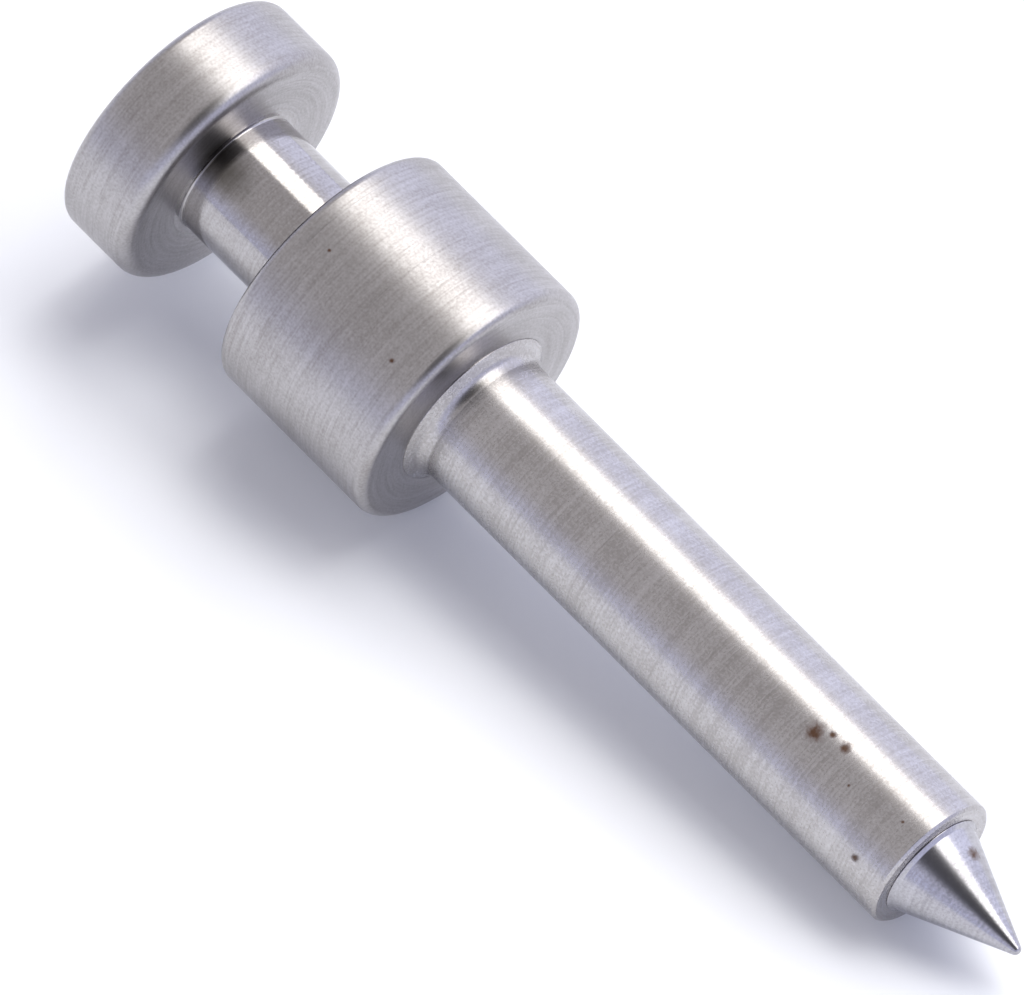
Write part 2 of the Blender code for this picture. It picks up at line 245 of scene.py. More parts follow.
@dataclass(frozen=True)
class TurnedSteel:
    """Free-machining steel as it leaves the lathe, which shows fine rings that run round the axis.

    The eye sees a satin grey with thousands of short bright and dark arcs, a fine grain, soft
    patches where the tool rubbed, and a few brown specks of rust. Real feed marks are about
    0.05 mm apart; they are drawn coarser, at 0.12 mm, so that they show.
    """

    name: str
    dark: str = "979391"
    light: str = "bdbbbc"
    roughness: float = 0.33
    slim_roughness: float = 0.33
    slim_radius: float = 3.3
    slim_rear: float = 4.1
    mark_pitch: float = 0.12
    mark_arc: float = 3.4
    band_pitch: float = 1.1
    band_arc: float = 30.0
    mark_depth: float = 0.0017
    grain_size: float = 0.12
    grain_depth: float = 0.0015
    mark_share: float = 0.43
    band_share: float = 0.22
    patch_share: float = 0.24
    grain_share: float = 0.55
    tone_range: tuple[float, float] = (0.45, 0.97)
    patch_size: float = 2.6
    specks: tuple[Speck, ...] = ()
    painted_shade: PaintedShade | None = None

    def material(self) -> bpy.types.Material:
        """Build the material's nodes.

        Returns:
            The finished material.
        """
        made, tree, shader = new_material(self.name)
        place = add_node(tree, "ShaderNodeTexCoord").outputs["Object"]
        parts = add_node(tree, "ShaderNodeSeparateXYZ", {0: place})
        across = add_node(tree, "ShaderNodeVectorMath", {0: place, 1: (0, 1, 1)}, operation="MULTIPLY")
        radius = add_node(tree, "ShaderNodeVectorMath", {0: across.outputs[0]}, operation="LENGTH")
        # the distance along the tool's path, the same on a cylinder, a face and a cone
        path = add_node(
            tree, "ShaderNodeMath", {0: parts.outputs["X"], 1: radius.outputs["Value"]}, operation="ADD"
        )
        marks = self._rings(tree, path, parts, self.mark_pitch, self.mark_arc)
        bands = self._rings(tree, path, parts, self.band_pitch, self.band_arc)
        patches = noise(tree, place, self.patch_size, 4.0)
        grain = noise(tree, place, self.grain_size, 3.0)
        tone = self._sum(tree, (
            (marks, self.mark_share), (bands, self.band_share), (patches, self.patch_share),
            (grain, self.grain_share),
        ))
        shade = ranged(tree, tone, self.tone_range, (0.0, 1.0))
        colour = mix(tree, shade, linear(self.dark), linear(self.light))
        gloss = ranged(
            tree, tone, self.tone_range, (self.roughness + 0.04, self.roughness - 0.03)
        )
        if self.slim_roughness != self.roughness:
            # the neck is cut with a sharper tool, so it shines more
            slim = ranged(
                tree, radius.outputs["Value"], (self.slim_radius * MM, (self.slim_radius + 0.3) * MM),
                (self.slim_roughness - self.roughness, 0.0),
            )
            ahead = ranged(
                tree, parts.outputs["X"], ((self.slim_rear - 0.2) * MM, self.slim_rear * MM), (0.0, 1.0)
            )
            slim_ahead = add_node(tree, "ShaderNodeMath", {0: slim, 1: ahead}, operation="MULTIPLY")
            gloss = self._sum(tree, ((gloss, 1.0), (slim_ahead.outputs[0], 1.0)))
        # painted shade on the neck's root, beside the head's front face
        if self.painted_shade:
            shade_share = self._painted_shade_mask(tree, place, patches)
            colour = mix(tree, shade_share, colour, linear(PAINTED_SHADE_OLIVE))
        rust = self._rust(tree, place)
        if rust is None:
            shader.inputs["Metallic"].default_value = 1.0
        else:
            colour = mix(tree, rust, colour, linear(RUST_BROWN))
            metal = add_node(
                tree, "ShaderNodeMath", {0: 1.0, 1: rust}, operation="SUBTRACT", use_clamp=True
            )
            tree.links.new(metal.outputs[0], shader.inputs["Metallic"])
        tree.links.new(colour, shader.inputs["Base Color"])
        tree.links.new(gloss, shader.inputs["Roughness"])
        pits = add_node(
            tree, "ShaderNodeBump",
            {"Height": grain, "Distance": self.grain_depth * MM, "Strength": 1.0},
        )
        grooves = add_node(
            tree, "ShaderNodeBump",
            {
                "Height": marks, "Distance": self.mark_depth * MM, "Strength": 1.0,
                "Normal": pits.outputs[0],
            },
        )
        tree.links.new(grooves.outputs[0], shader.inputs["Normal"])
        return made

    def _rings(
        self, tree: bpy.types.NodeTree, path: bpy.types.Node, parts: bpy.types.Node, pitch: float,
        arc: float,
    ) -> bpy.types.NodeSocket:
        """Make noise drawn out round the axis.

        Args:
            tree: the node tree.
            path: the node that gives the distance along the tool's path.
            parts: the node that gives the coordinates one by one.
            pitch: the marks' spacing along the path, in mm.
            arc: their length round the axis, in mm.

        Returns:
            The noise's socket.
        """
        along = add_node(tree, "ShaderNodeMath", {0: path.outputs[0], 1: arc / pitch}, operation="MULTIPLY")
        drawn = add_node(
            tree, "ShaderNodeCombineXYZ",
            {"X": along.outputs[0], "Y": parts.outputs["Y"], "Z": parts.outputs["Z"]},
        )
        return noise(tree, drawn.outputs[0], arc, 3.0)

    def _sum(
        self, tree: bpy.types.NodeTree, shares: Sequence[tuple[bpy.types.NodeSocket, float]]
    ) -> bpy.types.NodeSocket:
        """Add sockets up, each times its share.

        Args:
            tree: the node tree.
            shares: each socket and its share.

        Returns:
            The sum's socket.
        """
        total = 0.0
        for socket, share in shares:
            added = add_node(
                tree, "ShaderNodeMath", {0: socket, 1: share, 2: total}, operation="MULTIPLY_ADD"
            )
            total = added.outputs[0]
        return total

    def _painted_shade_mask(
        self, tree: bpy.types.NodeTree, place: bpy.types.NodeSocket, patches: bpy.types.NodeSocket
    ) -> bpy.types.NodeSocket:
        """Make the mask of the painted shade, which is longer along the axis than across it.

        Args:
            tree: the node tree.
            place: the object coordinates.
            patches: noise that breaks its edge up.

        Returns:
            The mask's socket.
        """
        painted_shade = self.painted_shade
        squeeze = (1 / painted_shade.stretch, 1, 1)
        middle = Vector((painted_shade.x / painted_shade.stretch, painted_shade.y, painted_shade.z)) * MM
        squeezed = add_node(tree, "ShaderNodeVectorMath", {0: place, 1: squeeze}, operation="MULTIPLY")
        away = add_node(
            tree, "ShaderNodeVectorMath", {0: squeezed.outputs[0], 1: middle}, operation="DISTANCE"
        )
        uneven = self._sum(tree, ((patches, 0.4 * painted_shade.fade * MM), (away.outputs["Value"], 1.0)))
        edge = (painted_shade.radius * MM, (painted_shade.radius + painted_shade.fade) * MM)
        return ranged(tree, uneven, edge, (painted_shade.strength, 0.0))

    def _rust(
        self, tree: bpy.types.NodeTree, place: bpy.types.NodeSocket
    ) -> bpy.types.NodeSocket | None:
        """Make the mask of the rust specks, with ragged edges.

        Args:
            tree: the node tree.
            place: the object coordinates.

        Returns:
            The mask's socket, or None where there are no specks.
        """
        mask = None
        ragged = noise(tree, place, RAGGED_EDGE, 4.0) if self.specks else None
        for speck in self.specks:
            away = add_node(
                tree, "ShaderNodeVectorMath",
                {0: place, 1: (speck.x * MM, speck.y * MM, speck.z * MM)}, operation="DISTANCE",
            )
            size = speck.radius * MM
            uneven = self._sum(tree, ((ragged, 1.5 * size), (away.outputs["Value"], 1.0)))
            spot = ranged(tree, uneven, (1.0 * size, 2.3 * size), (1.0, 0.0))
            if mask is None:
                mask = spot
            else:
                mask = add_node(tree, "ShaderNodeMath", {0: mask, 1: spot}, operation="MAXIMUM").outputs[0]
        return mask


@dataclass(frozen=True)
class EvenGrain:
    """A metal or a felt with a fine even grain, for the small pieces inside.

    The eye sees one tone with a faint mottle, and a gloss that depends on how it was made.
    """

    name: str
    dark: str
    light: str
    roughness: float
    grain: float = 0.2
    depth: float = 0.0008
    metallic: float = 1.0

    def material(self) -> bpy.types.Material:
        """Build the material's nodes.

        Returns:
            The finished material.
        """
        made, tree, shader = new_material(self.name)
        place = add_node(tree, "ShaderNodeTexCoord").outputs["Object"]
        grain = noise(tree, place, self.grain, 4.0)
        tone = ranged(tree, grain, GRAIN_RANGE, (0.0, 1.0), smooth=False)
        colour = mix(tree, tone, linear(self.dark), linear(self.light))
        tree.links.new(colour, shader.inputs["Base Color"])
        gloss = ranged(
            tree, grain, GRAIN_RANGE, (self.roughness * 1.2, self.roughness * 0.85), smooth=False
        )
        tree.links.new(gloss, shader.inputs["Roughness"])
        shader.inputs["Metallic"].default_value = self.metallic
        bump = add_node(
            tree, "ShaderNodeBump",
            {"Height": grain, "Distance": self.depth * MM, "Strength": 1.0},
        )
        tree.links.new(bump.outputs[0], shader.inputs["Normal"])
        return made


# --- turning -------------------------------------------------------------------------------------


@dataclass(frozen=True)
class Corner:
    """A corner of a half section: its place along the axis, its radius and its rounding, in mm."""

    x: float
    r: float
    rounding: float = 0.0


def rounded_path(corners: Sequence[Corner], closed: bool) -> list[Vector]:
    """Follow the corners of a half section, and round those that have a rounding.

    Args:
        corners: the corners, in order.
        closed: whether the last corner joins the first.

    Returns:
        The points of the path, each with the place along the axis and the radius, in mm.
    """
    points = []
    last = len(corners) - 1
    for number, corner in enumerate(corners):
        here = Vector((corner.x, corner.r))
        if not corner.rounding or (not closed and number in (0, last)):
            points.append(here)
            continue
        before, after = corners[number - 1], corners[(number + 1) % len(corners)]
        back = (Vector((before.x, before.r)) - here).normalized()
        ahead = (Vector((after.x, after.r)) - here).normalized()
        half = back.angle(ahead) / 2
        centre = here + (back + ahead).normalized() * corner.rounding / sin(half)
        reach = corner.rounding / tan(half)
        start, end = here + back * reach - centre, here + ahead * reach - centre
        first = atan2(start.y, start.x)
        sweep = atan2(start.x * end.y - start.y * end.x, start.dot(end))
        steps = max(2, ceil(ROUND_STEPS * abs(sweep) / (pi / 2)))
        for step in range(steps + 1):
            angle = first + sweep * step / steps
            points.append(centre + Vector((cos(angle), sin(angle))) * corner.rounding)
    return points


def groove(centre_x: float, centre_r: float, radius: float, start: float, end: float) -> list[Corner]:
    """Give the corners of a round groove in a half section.

    Args:
        centre_x: the place of the groove's centre along the axis.
        centre_r: the radius of the groove's centre.
        radius: the groove's own radius.
        start: the angle of its first corner, in degrees.
        end: the angle of its last corner, in degrees.

    Returns:
        The groove's corners.
    """
    steps = 12
    angles = [radians(start + (end - start) * step / steps) for step in range(steps + 1)]
    return [Corner(centre_x + radius * cos(a), centre_r + radius * sin(a)) for a in angles]


def deselect_all() -> None:
    """Clear the selection, which holds the frame's nodes after loading."""
    bpy.ops.object.select_all(action="DESELECT")


def finish_mesh(piece: bpy.types.Object) -> None:
    """Smooth a piece by angle, and keep its flat faces flat next to its rounded edges.

    Args:
        piece: the piece, in object mode.
    """
    deselect_all()
    piece.select_set(True)
    bpy.context.view_layer.objects.active = piece
    bpy.ops.object.shade_smooth_by_angle(angle=SMOOTH_ANGLE)
    normals = piece.modifiers.new("flat_faces", "WEIGHTED_NORMAL")
    normals.keep_sharp = True
    bpy.ops.object.modifier_apply(modifier=normals.name)


def clean_up_shape() -> None:
    """In edit mode, merge doubles and turn all faces outwards."""
    bpy.ops.mesh.select_all(action="SELECT")
    bpy.ops.mesh.remove_doubles(threshold=MERGE)
    bpy.ops.mesh.normals_make_consistent(inside=False)


def turn(
    name: str, corners: Sequence[Corner], closed: bool = True, sides: int = SIDES, sweep: float = 2 * pi
) -> bpy.types.Object:
    """Turn a piece on the lathe: draw its half section corner by corner, then spin it round the axis.

    Args:
        name: the piece's name.
        corners: its half section, in order. A section that starts and ends on the axis isn't closed.
        closed: whether the section is closed, as for a ring.
        sides: faces round the piece.
        sweep: the angle it is spun through, in radians.

    Returns:
        The piece, in object mode, at the origin.
    """
    path = rounded_path(corners, closed)
    if closed:
        path.append(path[0])
    deselect_all()
    bpy.ops.mesh.primitive_plane_add(size=MM, location=(0, 0, 0))
    piece = bpy.context.object
    piece.name = piece.data.name = name
    bpy.ops.object.mode_set(mode="EDIT")
    bpy.ops.mesh.select_mode(type="VERT")
    bpy.ops.mesh.select_all(action="SELECT")
    bpy.ops.mesh.merge(type="CENTER")
    bpy.ops.transform.translate(value=(path[0].x * MM, 0, path[0].y * MM))
    for before, after in zip(path, path[1:]):
        step = ((after.x - before.x) * MM, 0, (after.y - before.y) * MM)
        bpy.ops.mesh.extrude_region_move(TRANSFORM_OT_translate={"value": step})
    bpy.ops.mesh.select_all(action="SELECT")
    if closed:
        bpy.ops.mesh.remove_doubles(threshold=MERGE)
    if sweep < 2 * pi:
        bpy.ops.mesh.edge_face_add()
    bpy.ops.mesh.spin(steps=sides, angle=sweep, center=(0, 0, 0), axis=(1, 0, 0))
    clean_up_shape()
    bpy.ops.object.mode_set(mode="OBJECT")
    finish_mesh(piece)
    return piece


def cut_away(piece: bpy.types.Object, tools: Sequence[bpy.types.Object]) -> None:
    """Cut holes in a piece with a boolean for each tool, and remove the tools.

    Args:
        piece: the piece that is cut.
        tools: the bodies that are cut out of it.
    """
    for tool in tools:
        deselect_all()
        piece.select_set(True)
        bpy.context.view_layer.objects.active = piece
        hole = piece.modifiers.new("hole", "BOOLEAN")
        hole.operation, hole.solver, hole.object = "DIFFERENCE", "EXACT", tool
        bpy.ops.object.modifier_apply(modifier=hole.name)
        bpy.data.objects.remove(tool, do_unlink=True)
    bpy.ops.object.mode_set(mode="EDIT")
    clean_up_shape()
    bpy.ops.object.mode_set(mode="OBJECT")
    finish_mesh(piece)


def drill(place: Vector, direction: Vector, radius: float, depth: float) -> bpy.types.Object:
    """Make a drill: a plain round rod that a hole is cut with.

    Args:
        place: the middle of the rod, in mm.
        direction: the way that it points.
        radius: its radius in mm.
        depth: its length in mm.

    Returns:
        The rod, in object mode.
    """
    deselect_all()
    bpy.ops.mesh.primitive_cylinder_add(
        vertices=48, radius=radius * MM, depth=depth * MM, location=place * MM,
        rotation=direction.to_track_quat("Z", "Y").to_euler(),
    )
    rod = bpy.context.object
    bpy.ops.object.transform_apply(location=True, rotation=True, scale=True)
    return rod


def wear(
    piece: bpy.types.Object, material: bpy.types.Material, slot: Slot, body: Body, *nodes: str
) -> None:
    """Dress a piece, put it on its body and let it stand for its CAD nodes.

    Args:
        piece: the piece.
        material: its material.
        slot: the record's slot; not used.
        body: the body it moves with.
        nodes: the CAD nodes it stands for.
    """
    piece.data.materials.clear()
    piece.data.materials.append(material)
    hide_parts(*nodes)
    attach(piece, body.value)
    log.info("%s: %d faces on %s", piece.name, len(piece.data.polygons), body.value)


def span(node: str) -> tuple[float, float, float]:
    """Measure a CAD node.

    Args:
        node: the node's name.

    Returns:
        Its rear and front along the axis and its outer radius, in mm.
    """
    low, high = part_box(node)
    return low.x / MM, high.x / MM, max(high.y, high.z, -low.y, -low.z) / MM


# --- outer pieces --------------------------------------------------------------------------------


@dataclass
class Tail:
    """Disc head, neck and threaded boss in one piece, bored for the rear bush."""

    head_length: float = 4.07
    rear_round: float = 0.45
    front_round: float = 0.75
    neck_length: float = 6.03
    neck_radius: float = 3.1
    neck_fillet: float = 0.12
    boss_radius: float = 5.0
    bore_radius: float = 2.02
    bore_rear: float = 6.68
    drill_angle: float = 118.0
    hole_radius: float = 0.45
    hole_depth: float = 0.8
    feed: float = 0.3
    feed_depth: float = 0.006
    feed_start: float = 2.4

    def section(self) -> list[Corner]:
        """Give the half section, with the coarse feed marks of the neck.

        Returns:
            The corners from the tail's centre round to the bottom of the bore.
        """
        _, boss_front, head_radius = span("tail_stud")
        collar_rear = self.head_length + self.neck_length
        marks = []
        first = self.head_length + self.feed_start
        # the tool's round nose leaves scallops with a sharp ridge between them
        for number in range(int((collar_rear - first) / self.feed)):
            for part in (0.0, 0.25, 0.5, 0.75):
                depth = self.feed_depth * (1 - (2 * part - 1) ** 2)
                marks.append(Corner(first + (number + part) * self.feed, self.neck_radius - depth))
        return [
            Corner(0, 0),
            Corner(0, head_radius, self.rear_round),
            Corner(self.head_length, head_radius, self.front_round),
            Corner(self.head_length, self.neck_radius, self.neck_fillet),
            *marks,
            Corner(collar_rear, self.neck_radius),
            Corner(collar_rear, self.boss_radius),
            Corner(boss_front, self.boss_radius, 0.1),
            Corner(boss_front, self.bore_radius, 0.06),
            Corner(self.bore_rear, self.bore_radius),
            Corner(self.bore_rear - self.bore_radius / tan(radians(self.drill_angle / 2)), 0),
        ]

    def build(self, steel: bpy.types.Material) -> None:
        """Turn the piece, drill its two spanner holes and dress it.

        Args:
            steel: the turned steel.
        """
        piece = turn("tail_stud_turned", self.section(), closed=False)
        collar_rear = self.head_length + self.neck_length
        holes_radius = (self.neck_radius + self.boss_radius + FIT) / 2
        tools = [
            drill(
                Vector((collar_rear, side * holes_radius, 0)), Vector((1, 0, 0)), self.hole_radius,
                2 * self.hole_depth,
            )
            for side in (-1, 1)
        ]
        cut_away(piece, tools)
        wear(piece, steel, Slot.TURNED_STEEL, Body.HOUSING, "tail_stud")


@dataclass
class Housing:
    """Round shell with a wall and a seal pocket at the front, bored out round the slinger ring."""

    rear_round: float = 0.4
    front_round: float = 0.5
    boss_bore: float = 5.02
    seat_radius: float = 4.52
    seat_rear: float = 11.72
    wall_rear: float = 17.85
    pocket_front: float = 18.37
    pocket_radius: float = 3.22
    opening_radius: float = 2.58
    slinger_gap: float = 0.006
    witness_places: tuple[float, ...] = (0.95, 4.9)
    witness_width: float = 0.12
    witness_depth: float = 0.008
    slinger_depth: float = 0.2

    def build(self, steel: bpy.types.Material) -> None:
        """Turn the shell and dress it.

        Args:
            steel: the turned steel.
        """
        rear, front, radius = span("housing")
        slinger_bore = span("slinger_ring")[2] + self.slinger_gap
        lines = []
        for place in self.witness_places:
            # a line that the tool left where it stopped
            middle, half = rear + place, self.witness_width / 2
            lines += [
                Corner(middle - half, radius), Corner(middle, radius - self.witness_depth),
                Corner(middle + half, radius),
            ]
        piece = turn("housing_turned", [
            Corner(rear, self.boss_bore),
            Corner(rear, radius, self.rear_round),
            *lines,
            Corner(front, radius, self.front_round),
            Corner(front, slinger_bore),
            Corner(front - self.slinger_depth, slinger_bore),
            Corner(front - self.slinger_depth, self.opening_radius, 0.05),
            Corner(self.pocket_front, self.opening_radius),
            Corner(self.pocket_front, self.pocket_radius),
            Corner(self.wall_rear, self.pocket_radius),
            Corner(self.wall_rear, self.seat_radius),
            Corner(self.seat_rear, self.seat_radius),
            Corner(self.seat_rear, self.boss_bore),
        ])
        wear(piece, steel, Slot.TURNED_STEEL, Body.HOUSING, "housing")


@dataclass
class Spindle:
    """Barrel, journal, bearing seat and stub, with the slinger ring and the point on it."""

    stub_radius: float = 0.96
    stub_chamfer: float = 0.15
    shoulder: float = 14.74
    seat_radius: float = 1.98
    groove_rear: float = 14.99
    groove_front: float = 15.33
    groove_radius: float = 1.68
    journal_rear: float = 17.85
    journal_radius: float = 2.5
    barrel_rear: float = 20.06
    barrel_radius: float = 3.25
    barrel_chamfer: float = 0.13
    stem_radius: float = 1.5
    stem_length: float = 6.0
    end_space: float = 0.4
    drill_angle: float = 118.0
    flare: float = 0.7
    flare_start: float = 35.0
    rim_step: float = 0.03
    root_length: float = 0.2
    root_step: float = 0.09
    root_flare: float = 0.22
    tip_radius: float = 0.26

    def build(self, steel: bpy.types.Material, point_steel: bpy.types.Material) -> None:
        """Turn the three pieces and dress them.

        Args:
            steel: the turned steel.
            point_steel: the hard steel of the point.
        """
        rear, front, _ = span("spindle")
        bore_rear = front - self.stem_length - self.end_space
        bore = self.stem_radius + FIT
        body = turn("spindle_turned", [
            Corner(rear, 0),
            Corner(rear, self.stub_radius, self.stub_chamfer),
            Corner(self.shoulder, self.stub_radius),
            Corner(self.shoulder, self.seat_radius),
            Corner(self.groove_rear, self.seat_radius),
            Corner(self.groove_rear, self.groove_radius),
            Corner(self.groove_front, self.groove_radius),
            Corner(self.groove_front, self.seat_radius),
            Corner(self.journal_rear, self.seat_radius),
            Corner(self.journal_rear, self.journal_radius),
            Corner(self.barrel_rear, self.journal_radius),
            Corner(self.barrel_rear, self.barrel_radius),
            Corner(front - self.barrel_chamfer, self.barrel_radius, 0.04),
            Corner(front, self.barrel_radius - self.barrel_chamfer, 0.04),
            Corner(front, bore),
            Corner(bore_rear, bore),
            Corner(bore_rear - bore / tan(radians(self.drill_angle / 2)), 0),
        ], closed=False)
        wear(body, steel, Slot.TURNED_STEEL, Body.SPINDLE, "spindle")

        rim_rear, _, rim_radius = span("slinger_ring")
        ring_front = self.barrel_rear - PRESSED
        rim_front = span("housing")[1] + self.rim_step
        ring = turn("slinger_ring_turned", [
            Corner(rim_rear, self.journal_radius + FIT), Corner(rim_rear, rim_radius),
            Corner(rim_front, rim_radius, 0.02),
            *groove(ring_front, rim_radius, self.flare, 180 + self.flare_start, 270),
            Corner(ring_front, self.journal_radius + FIT),
        ])
        wear(ring, steel, Slot.TURNED_STEEL, Body.SPINDLE, "slinger_ring")
        self.point(front, point_steel)

    def point(self, barrel_front: float, steel: bpy.types.Material) -> None:
        """Turn the point: stem, base with a fine root, cone and round tip.

        Args:
            barrel_front: the barrel's front face, in mm.
            steel: the hard steel.
        """
        stem_rear, tip, base_radius = span("point")
        base = barrel_front + PRESSED
        root = base + self.root_length
        tip_centre = tip - self.tip_radius
        reach, root_radius = tip_centre - root, base_radius - self.root_step
        half = atan2(root_radius, reach) - asin(self.tip_radius / hypot(reach, root_radius))
        piece = turn("point_turned", [
            Corner(stem_rear, 0),
            Corner(stem_rear, self.stem_radius, 0.2),
            Corner(base, self.stem_radius),
            Corner(base, root_radius + self.root_flare, 0.03),
            Corner(root, root_radius, 0.12),
            *groove(tip_centre, 0, self.tip_radius, 90 - degrees(half), 0),
        ], closed=False)
        wear(piece, steel, Slot.POINT_STEEL, Body.SPINDLE, "point")


# --- inner pieces --------------------------------------------------------------------------------


@dataclass
class BallBearing:
    """The front ball bearing: two rings, a cage and its balls."""

    balls: int = 8
    ball_radius: float = 0.75
    ball_play: float = 0.04
    land: float = 0.4
    edge: float = 0.12
    bore_radius: float = 2.0
    pocket_play: float = 0.05

    def build(
        self, steel: bpy.types.Material, ball_steel: bpy.types.Material, brass: bpy.types.Material
    ) -> None:
        """Make the rings, the cage and the balls, and dress them.

        Args:
            steel: the rings' steel.
            ball_steel: the balls' steel.
            brass: the cage's brass.
        """
        rear, front, outer_radius = span("front_outer_ring")
        pitch = (self.bore_radius + outer_radius) / 2
        middle = sum(span("front_ball_1")[:2]) / 2
        track = self.ball_radius + self.ball_play
        half = degrees(asin(self.land / track))
        inner = turn("front_inner_ring_ground", [
            Corner(rear, self.bore_radius, self.edge), Corner(rear, pitch - self.land, 0.05),
            *groove(middle, pitch, track, 180 + half, 360 - half),
            Corner(front, pitch - self.land, 0.05), Corner(front, self.bore_radius, self.edge),
        ], sides=SMALL_SIDES)
        wear(inner, steel, Slot.BEARING_STEEL, Body.SPINDLE, "front_inner_ring")
        outer = turn("front_outer_ring_ground", [
            Corner(rear, pitch + self.land, 0.05), *groove(middle, pitch, track, 180 - half, half),
            Corner(front, pitch + self.land, 0.05), Corner(front, outer_radius, self.edge),
            Corner(rear, outer_radius, self.edge),
        ], sides=SMALL_SIDES)
        wear(outer, steel, Slot.BEARING_STEEL, Body.HOUSING, "front_outer_ring")
        cage_rear, cage_front, cage_radius = span("front_cage")
        cage_inner = 2 * pitch - cage_radius
        places = ball_places("front_ball", self.balls)
        cage = plain_ring(
            "front_cage_machined", cage_rear, cage_front, cage_inner, cage_radius, CAGE_EDGE
        )
        outwards = [Vector((0, place.y, place.z)).normalized() for place in places]
        bore_pockets(
            cage, places, outwards, self.ball_radius + self.pocket_play, 4 * (cage_radius - cage_inner)
        )
        wear(cage, brass, Slot.CAGE_BRASS, Body.FRONT_CAGE, "front_cage")
        polished_balls("front_ball", places, self.ball_radius, ball_steel, Body.FRONT_CAGE)


@dataclass
class ThrustBearing:
    """The thrust bearing: two washers, a flat cage and its balls."""

    balls: int = 7
    ball_radius: float = 0.6
    ball_play: float = 0.04
    pocket_play: float = 0.05
    groove_depth: float = 0.15
    bore_radius: float = 1.0

    def build(
        self, steel: bpy.types.Material, ball_steel: bpy.types.Material, brass: bpy.types.Material
    ) -> None:
        """Make the washers, the cage and the balls, and dress them.

        Args:
            steel: the washers' steel.
            ball_steel: the balls' steel.
            brass: the cage's brass.
        """
        places = ball_places("thrust_ball", self.balls)
        middle = places[0].x
        track = self.ball_radius + self.ball_play
        sweep = degrees(acos((track - self.groove_depth) / track))
        for node, towards, body in (
            ("thrust_housing_washer", 1, Body.HOUSING), ("thrust_shaft_washer", -1, Body.SPINDLE)
        ):
            rear, front, outer_radius = span(node)
            back, face = (rear, front) if towards > 0 else (front, rear)
            pitch = (self.bore_radius + outer_radius) / 2
            centre = 180 if towards > 0 else 0
            washer = turn(f"{node}_ground", [
                Corner(back, self.bore_radius, 0.06), Corner(back, outer_radius, 0.1),
                Corner(face, outer_radius, 0.06),
                *groove(middle, pitch, track, centre - towards * sweep, centre + towards * sweep),
                Corner(face, self.bore_radius, 0.04),
            ], sides=SMALL_SIDES)
            wear(washer, steel, Slot.BEARING_STEEL, body, node)
        rear, front, outer_radius = span("thrust_cage")
        pitch = hypot(places[0].y, places[0].z)
        inner = max(2 * pitch - outer_radius, self.bore_radius + FIT)
        cage = plain_ring("thrust_cage_machined", rear, front, inner, outer_radius, CAGE_EDGE)
        forwards = [Vector((1, 0, 0))] * self.balls
        bore_pockets(
            cage, places, forwards, self.ball_radius + self.pocket_play, 4 * (outer_radius - inner)
        )
        wear(cage, brass, Slot.CAGE_BRASS, Body.THRUST_CAGE, "thrust_cage")
        polished_balls("thrust_ball", places, self.ball_radius, ball_steel, Body.THRUST_CAGE)


def ball_places(stem: str, count: int) -> list[Vector]:
    """Find the balls' centres.

    Args:
        stem: the start of their node names.
        count: how many there are.

    Returns:
        Their centres in mm.
    """
    boxes = [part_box(f"{stem}_{number + 1}") for number in range(count)]
    return [(low + high) / 2 / MM for low, high in boxes]


def plain_ring(
    name: str, rear: float, front: float, inner: float, outer: float, edge: float, sweep: float = 2 * pi
) -> bpy.types.Object:
    """Turn a small plain ring with eased edges.

    Args:
        name: its name.
        rear: its rear face, in mm.
        front: its front face, in mm.
        inner: its inner radius, in mm.
        outer: its outer radius, in mm.
        edge: the rounding of its edges, in mm.
        sweep: the angle that it covers, in radians.

    Returns:
        The ring, in object mode.
    """
    return turn(name, [
        Corner(rear, inner, edge), Corner(rear, outer, edge), Corner(front, outer, edge),
        Corner(front, inner, edge),
    ], sides=SMALL_SIDES, sweep=sweep)


def bore_pockets(
    cage: bpy.types.Object, places: Sequence[Vector], directions: Sequence[Vector], pocket: float,
    depth: float,
) -> None:
    """Bore a cage's pockets.

    Args:
        cage: the cage, in object mode.
        places: the balls' centres, in mm.
        directions: the way that each pocket is bored.
        pocket: the pockets' radius, in mm.
        depth: the drill's length, in mm.
    """
    cut_away(cage, [drill(place, way, pocket, depth) for place, way in zip(places, directions)])


def polished_balls(
    stem: str, places: Sequence[Vector], radius: float, steel: bpy.types.Material, body: Body
) -> None:
    """Model one ball, then copy it to each place with its own mesh.

    Args:
        stem: the start of the nodes' names.
        places: the balls' centres, in mm.
        radius: their radius, in mm.
        steel: their steel.
        body: the body that they ride on.
    """
    deselect_all()
    bpy.ops.mesh.primitive_ico_sphere_add(subdivisions=BALL_CUTS, radius=radius * MM)
    bpy.ops.object.shade_smooth()
    first = bpy.context.object
    for number, place in enumerate(places):
        deselect_all()
        first.select_set(True)
        bpy.context.view_layer.objects.active = first
        bpy.ops.object.duplicate(linked=False)
        bpy.ops.transform.translate(value=place * MM)
        bpy.ops.object.transform_apply(location=True, rotation=False, scale=False)
        ball = bpy.context.object
        ball.name = ball.data.name = f"{stem}_{number + 1}_polished"
        wear(ball, steel, Slot.BALL_STEEL, body, f"{stem}_{number + 1}")
    bpy.data.objects.remove(first, do_unlink=True)


